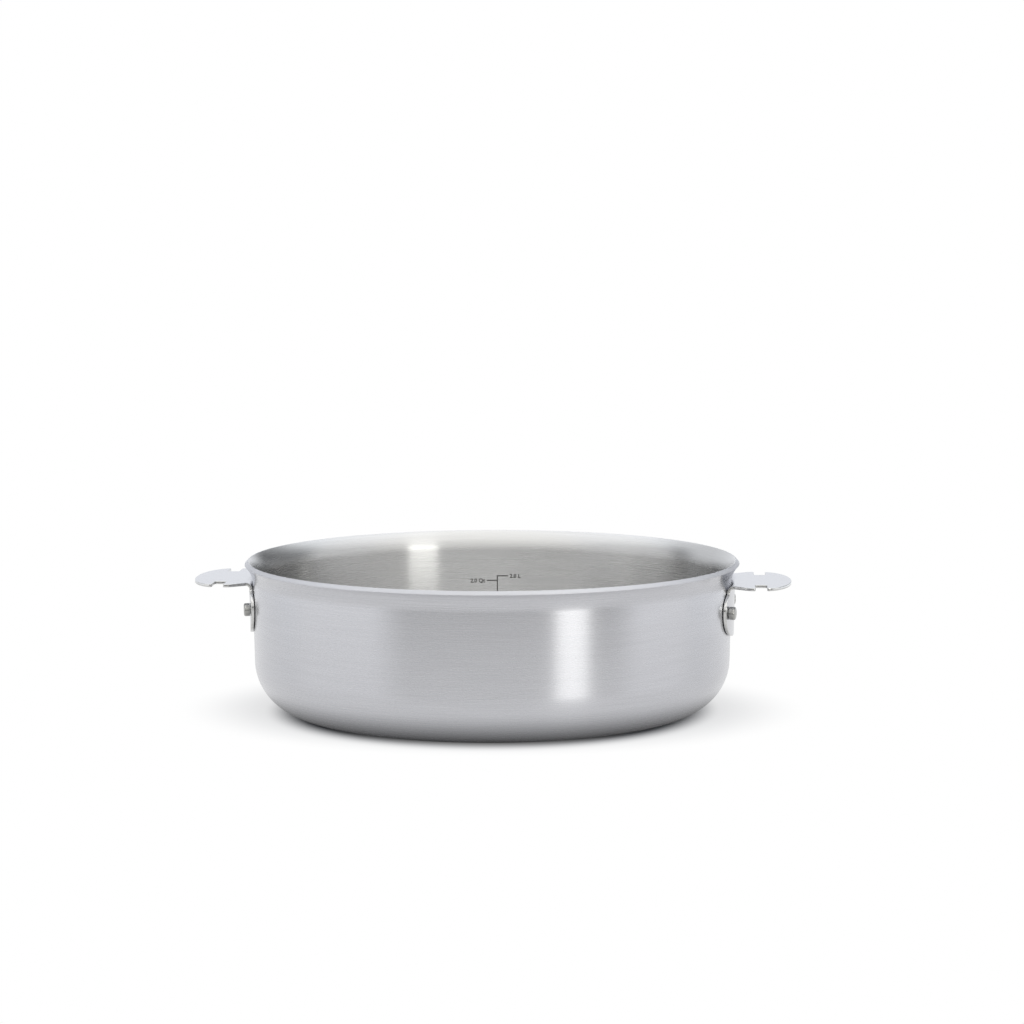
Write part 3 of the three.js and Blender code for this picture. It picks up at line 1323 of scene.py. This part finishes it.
class Unit(Enum):
    """A unit on the capacity scale: its sign, its volume in cubic metres, the side of its ticks."""

    LITRE = ("L", 1.0e-3, 1)
    QUART = ("Qt", 0.946353e-3, -1)

    @property
    def sign(self) -> str:
        """What follows the number."""
        return self.value[0]

    @property
    def volume(self) -> float:
        """One unit, in cubic metres."""
        return self.value[1]

    @property
    def side(self) -> int:
        """1 for ticks to the right of the line, -1 for ticks to its left."""
        return self.value[2]


@dataclass
class CapacityScale:
    """A line with ticks and numbers, etched into the back of the pan's inner wall."""

    pan: PanBody
    angle: float = math.radians(92.84)
    amounts: tuple[float, ...] = (1.0, 1.5, 2.0)
    line_width: float = 0.6 * MM
    tick_length: float = 5.7 * MM
    letter_height: float = 2.1 * MM
    letter_gap: float = 1.0 * MM
    letter_weight: float = 0.09 * MM
    capital_share: float = 0.7
    proud: float = 0.02 * MM
    sunk: float = 0.02 * MM
    stroke_pitch: float = 0.8 * MM
    letter_steps: int = 3
    slices: int = 400
    halvings: int = 40

    def volume_below(self, height: float) -> float:
        """What the pan holds up to a height, summed over thin layers.

        Args:
            height: height of the surface above the table.

        Returns:
            The volume, in cubic metres.
        """
        pan = self.pan
        corner = pan.corner_radius - pan.sheet
        thickness = (height - pan.sheet) / self.slices
        total = 0.0
        for i in range(self.slices):
            level = pan.sheet + (i + 0.5) * thickness
            below = pan.corner_centre[1] - level
            radius = pan.inside_at(level)
            if below > corner * math.sin(pan.draft):
                radius = pan.corner_centre[0] + math.sqrt(max(corner**2 - below**2, 0.0))
            total += math.pi * radius**2 * thickness
        return total

    def height_of(self, volume: float) -> float:
        """Height of the surface at which the pan holds a volume."""
        low, high = self.pan.sheet, self.pan.flare_foot
        for _ in range(self.halvings):
            middle = (low + high) / 2
            if self.volume_below(middle) < volume:
                low = middle
            else:
                high = middle
        return low

    def on_wall(self, across: float, height: float, depth: float) -> Vector:
        """A point at the wall's inner face.

        Args:
            across: distance to the right of the scale's line.
            height: height above the table.
            depth: distance into the pan from the wall's face.

        Returns:
            The point.
        """
        radius = self.pan.inside_at(height) - depth
        angle = self.angle - across / radius
        return Vector((radius * math.cos(angle), radius * math.sin(angle), height))

    def stroke(self, draft: MeshDraft, left: float, right: float, low: float, high: float) -> None:
        """Adds a straight stroke.

        Args:
            draft: the scale's mesh.
            left: its left end, from the line.
            right: its right end.
            low: its lower edge.
            high: its upper edge.
        """
        steps = max(2, int((right - left) / self.stroke_pitch))
        rings = []
        for i in range(steps + 1):
            across = left + (right - left) * i / steps
            corners = ((low, self.proud), (high, self.proud), (high, -self.sunk), (low, -self.sunk))
            rings.append(draft.loop([self.on_wall(across, level, depth) for level, depth in corners]))
        for first, second in zip(rings, rings[1:]):
            draft.bridge(first, second)
        draft.face(rings[0])
        draft.face(rings[-1])

    def words(self, draft: MeshDraft, text: str, side: int, edge: float, height: float) -> None:
        """Adds a number and its unit beside a tick.

        Args:
            draft: the scale's mesh.
            text: what to write.
            side: 1 to write to the right of the edge, -1 to its left.
            edge: where the writing starts or ends, from the line.
            height: height of the writing's middle.
        """
        curve = bpy.data.curves.new("scale_words", "FONT")
        curve.body = text
        curve.align_x = "LEFT" if side > 0 else "RIGHT"
        curve.size = self.letter_height / self.capital_share
        curve.offset = self.letter_weight
        curve.extrude = (self.proud + self.sunk) / 2
        curve.resolution_u = self.letter_steps
        writing = new_object("scale_words", curve)
        seen = writing.evaluated_get(bpy.context.evaluated_depsgraph_get())
        flat = seen.to_mesh()
        spots = []
        for vertex in flat.vertices:
            x, y, z = vertex.co
            depth = z + (self.proud - self.sunk) / 2
            spots.append(self.on_wall(edge + x, height + y - self.letter_height / 2, depth))
        numbers = draft.loop(spots)
        for polygon in flat.polygons:
            draft.face([numbers[i] for i in polygon.vertices])
        seen.to_mesh_clear()
        bpy.data.objects.remove(writing)
        bpy.data.curves.remove(curve)

    def build(self) -> None:
        """Makes and dresses the scale."""
        draft = MeshDraft()
        half = self.line_width / 2
        heights = []
        for unit in Unit:
            for amount in self.amounts:
                height = self.height_of(amount * unit.volume) + half
                heights.append(height)
                ends = sorted((unit.side * half, unit.side * self.tick_length))
                self.stroke(draft, ends[0], ends[1], height - half, height + half)
                edge = unit.side * (self.tick_length + self.letter_gap)
                self.words(draft, f"{amount:.1f} {unit.sign}", unit.side, edge, height)
        self.stroke(draft, -half, half, min(heights) - half, max(heights) + half)
        put("capacity_scale", draft, [SCALE_MARK])


# Studio and camera


@dataclass(frozen=True)
class Softbox:
    """A flat lamp that faces the pan. Its bearing is in degrees, to the right of the camera's side.

    Where metal shows the lamp, it adds its radiance to the brightness of the room behind it.
    """

    name: str
    bearing: float
    distance: float
    level: float
    width: float
    tall: float
    radiance: float
    colour: Colour = WHITE
    in_metal: bool = True
    aim: float = 0.05

    def build(self) -> None:
        """Adds the lamp."""
        light = bpy.data.lights.new(self.name, "AREA")
        light.shape = "RECTANGLE"
        light.size = self.width
        light.size_y = self.tall
        light.color = self.colour
        light.energy = self.radiance * math.pi * self.width * self.tall
        lamp = new_object(self.name, light)
        angle = math.radians(self.bearing - 90.0) + VIEW_TURN
        lamp.location = (self.distance * math.cos(angle), self.distance * math.sin(angle), self.level)
        towards = Vector((0.0, 0.0, self.aim)) - lamp.location
        lamp.rotation_euler = towards.to_track_quat("-Z", "Y").to_euler()
        lamp.visible_camera = False
        lamp.visible_glossy = self.in_metal
        LOG.info("%s: lamp of %.2f by %.2f m", self.name, self.width, self.tall)


@dataclass(frozen=True)
class RoomSide:
    """How one side of the room looks in metal, from the table's level up to overhead.

    Sides follow one another from the camera's side to the far one. Each takes over from the one before
    it while a direction's distance from the camera's side, from -1 to 1, goes through its reach.
    """

    levels: tuple[float, ...]
    colour: Colour
    reach: tuple[float, float] = (-1.0, -1.0)
    turn: float = 0.0

    def look(self, board: NodeBoard, rise: Signal, rises: Sequence[float]) -> bpy.types.NodeSocket:
        """The side's colour in a direction.

        Args:
            board: the room's nodes.
            rise: sine of the direction's elevation.
            rises: that sine at each of the levels.

        Returns:
            The colour's socket.
        """
        level = self.levels[0]
        for low, high, below, above in zip(rises, rises[1:], self.levels, self.levels[1:]):
            level = level + rise.smooth_step(low, high) * (above - below)
        return board.tint(self.colour, level)

    def share(self, x: Signal, y: Signal) -> Signal:
        """How far the side has taken over in a direction.

        Args:
            x: the direction's part along X.
            y: the direction's part along Y.

        Returns:
            0 where the side before it still shows, 1 where this one does.
        """
        turn = VIEW_TURN + self.turn
        level_part = (x * x + y * y).root().highest(LEAST_LEVEL_PART)
        away = (y * math.cos(turn) - x * math.sin(turn)) / level_part
        return away.smooth_step(*self.reach)


@dataclass
class Studio:
    """A white table in a white room that is dim on the camera's side, under two soft lamps.

    The table's reaches are distances from the pan's axis. Over them the table comes to show in metal,
    past a painted shadow round the pan's foot, and the dark line under the pan and its soft shadow fade
    out; these two are grey paper with its real shadow, shown through the glow, so painted shade in
    part.
    The widths stretch the last two along X. The rises are the sines of the elevations that the sides'
    levels are given at.
    """

    table_radius: float = 0.55
    table_steps: int = 96
    # The paper shows only near the pan, where its grey-blue deepens and tints the shadow: painted
    # shade.
    table_colour: Colour = (0.48, 0.5, 0.54)
    # In metal the table is dark inside this reach: a painted shadow round the pan's foot.
    metal_reach: tuple[float, float] = (0.094, 0.133)
    metal_level: float = 0.9
    # Over these ovals the dark line under the pan and the soft shadow fade into the glow: painted shade
    # in part.
    contact_reach: tuple[float, float] = (0.1015, 0.1215)
    contact_width: float = 0.95
    contact_glow: float = 0.69
    shadow_reach: tuple[float, float] = (0.086, 0.1315)
    shadow_width: float = 1.22
    room_light: float = 0.35
    rises: tuple[float, ...] = (-0.035, 0.105, 0.225, 0.407, 0.616, 0.809)
    sides: tuple[RoomSide, ...] = (
        RoomSide(levels=(0.0, 0.6, 1.3, 1.0, 1.5, 1.66), colour=(1.0, 0.995, 0.98)),
        RoomSide(
            levels=(1.25, 1.75, 0.5, 0.85, 1.5, 1.66),
            colour=(0.99, 0.995, 1.01),
            reach=(-0.7, -0.38),
            turn=math.radians(8.0),
        ),
        RoomSide(levels=(1.4, 0.5, 0.0, 0.5, 1.5, 1.65), colour=(0.97, 1.0, 1.04), reach=(0.12, 0.4)),
        RoomSide(
            levels=(1.03, 0.96, 0.95, 0.9, 1.3, 1.66),
            colour=(0.98, 1.0, 1.04),
            reach=(0.66, 0.88),
            turn=math.radians(22.0),
        ),
    )
    lamps: tuple[Softbox, ...] = (
        Softbox(
            name="strip_softbox",
            bearing=36.6,
            distance=2.28,
            level=0.27,
            width=0.62,
            tall=0.58,
            radiance=5.7,
            colour=(1.0, 0.995, 0.955),
        ),
        Softbox(
            name="top_softbox",
            bearing=0.0,
            distance=0.05,
            level=1.30,
            width=1.60,
            tall=1.60,
            radiance=1.5,
            in_metal=False,
        ),
    )

    def table_material(self) -> bpy.types.Material:
        """White that glows for the camera and in metal, and shows the pan's shadow, partly painted."""
        material = bpy.data.materials.new("studio_table")
        material.cycles.emission_sampling = "NONE"
        board = NodeBoard(material)
        x, y, _ = board.position()
        distance, contact, shade = (
            (x * x / width**2 + y * y).root() for width in (1.0, self.contact_width, self.shadow_width)
        )
        camera, metal = board.rays()
        # Painted shade: near the pan the white glow gives way, over ovals, to the grey paper and its
        # real shadow.
        near = contact.smooth_step(*self.contact_reach) * self.contact_glow
        clear = near + shade.smooth_step(*self.shadow_reach) * (1.0 - near)
        # Painted shadow in metal: the table shows dark near the pan and brightens past the reach.
        shown = camera + metal * distance.smooth_step(*self.metal_reach) * self.metal_level
        paper = board.add("ShaderNodeBsdfDiffuse", inputs={"Color": (*self.table_colour, 1.0)})
        white = board.add("ShaderNodeEmission", inputs={"Color": board.tint(WHITE, shown)})
        mixed = board.add(
            "ShaderNodeMixShader",
            inputs={0: camera * clear + metal, 1: paper.outputs[0], 2: white.outputs[0]},
        )
        board.add("ShaderNodeOutputMaterial", inputs={"Surface": mixed.outputs[0]})
        return material

    def build_table(self) -> None:
        """Makes the round table top under the pan."""
        mesh = bpy.data.meshes.new("studio_table")
        draft = bmesh.new()
        bmesh.ops.create_circle(
            draft, cap_ends=True, segments=self.table_steps, radius=self.table_radius
        )
        draft.to_mesh(mesh)
        draft.free()
        mesh.materials.append(self.table_material())
        table = new_object("studio_table", mesh)

    def build_room(self) -> None:
        """Makes the white room: white to the camera, and uneven where metal shows it."""
        world = bpy.data.worlds.new("studio_room")
        world.cycles.sampling_method = "NONE"
        board = NodeBoard(world)
        x, y, z = board.position(Space.ROOM)
        shown = self.sides[0].look(board, z, self.rises)
        for side in self.sides[1:]:
            shown = board.blend(side.share(x, y), shown, side.look(board, z, self.rises))
        camera, metal = board.rays()
        shown = board.blend(metal, (self.room_light,) * 3, shown)
        shown = board.blend(camera, shown, WHITE)
        white = board.add("ShaderNodeBackground", inputs={"Color": shown})
        board.add("ShaderNodeOutputWorld", inputs={"Surface": white.outputs[0]})
        bpy.context.scene.world = world

    def build(self) -> None:
        """Makes the table, the room and the lamps."""
        self.build_table()
        self.build_room()
        for lamp in self.lamps:
            lamp.build()


@dataclass
class PhotoCamera:
    """A camera a little to the right of the pan's front, looking slightly down."""

    distance: float = 1.449
    height: float = 0.25865
    pitch: float = 0.10963
    yaw: float = 0.0069
    roll: float = -0.0017
    focal_pixels: float = 2908.0
    image_pixels: float = 1024.0
    sensor: float = 36.0

    def build(self) -> None:
        """Places the camera and makes it the scene's."""
        forward = Vector(
            (
                math.sin(self.yaw) * math.cos(self.pitch),
                math.cos(self.yaw) * math.cos(self.pitch),
                -math.sin(self.pitch),
            )
        )
        right = Vector((math.cos(self.yaw), -math.sin(self.yaw), 0.0))
        up = right.cross(forward)
        tilt_right = right * math.cos(self.roll) + up * math.sin(self.roll)
        tilt_up = up * math.cos(self.roll) - right * math.sin(self.roll)
        axes = Matrix((tilt_right, tilt_up, -forward)).transposed().to_4x4()
        axes.translation = Vector((0.0, -self.distance, self.height))
        lens = bpy.data.cameras.new("photo_camera")
        lens.sensor_width = self.sensor
        lens.lens = self.focal_pixels / self.image_pixels * self.sensor
        camera = new_object("photo_camera", lens)
        camera.matrix_world = Matrix.Rotation(VIEW_TURN, 4, "Z") @ axes
        bpy.context.scene.camera = camera


def main() -> None:
    """Builds the pan, its lugs, rivets and scale, and the studio round them."""
    logging.basicConfig(level=logging.INFO, format="%(name)s: %(message)s")
    bpy.context.scene.view_settings.view_transform = "Standard"
    PhotoCamera().build()
    Studio().build()
    pan = PanBody()
    pan.build()
    lug = Lug(pan)
    for side in Side:
        lug.build(side)
    CapacityScale(pan).build()


if __name__ == "__main__":
    main()
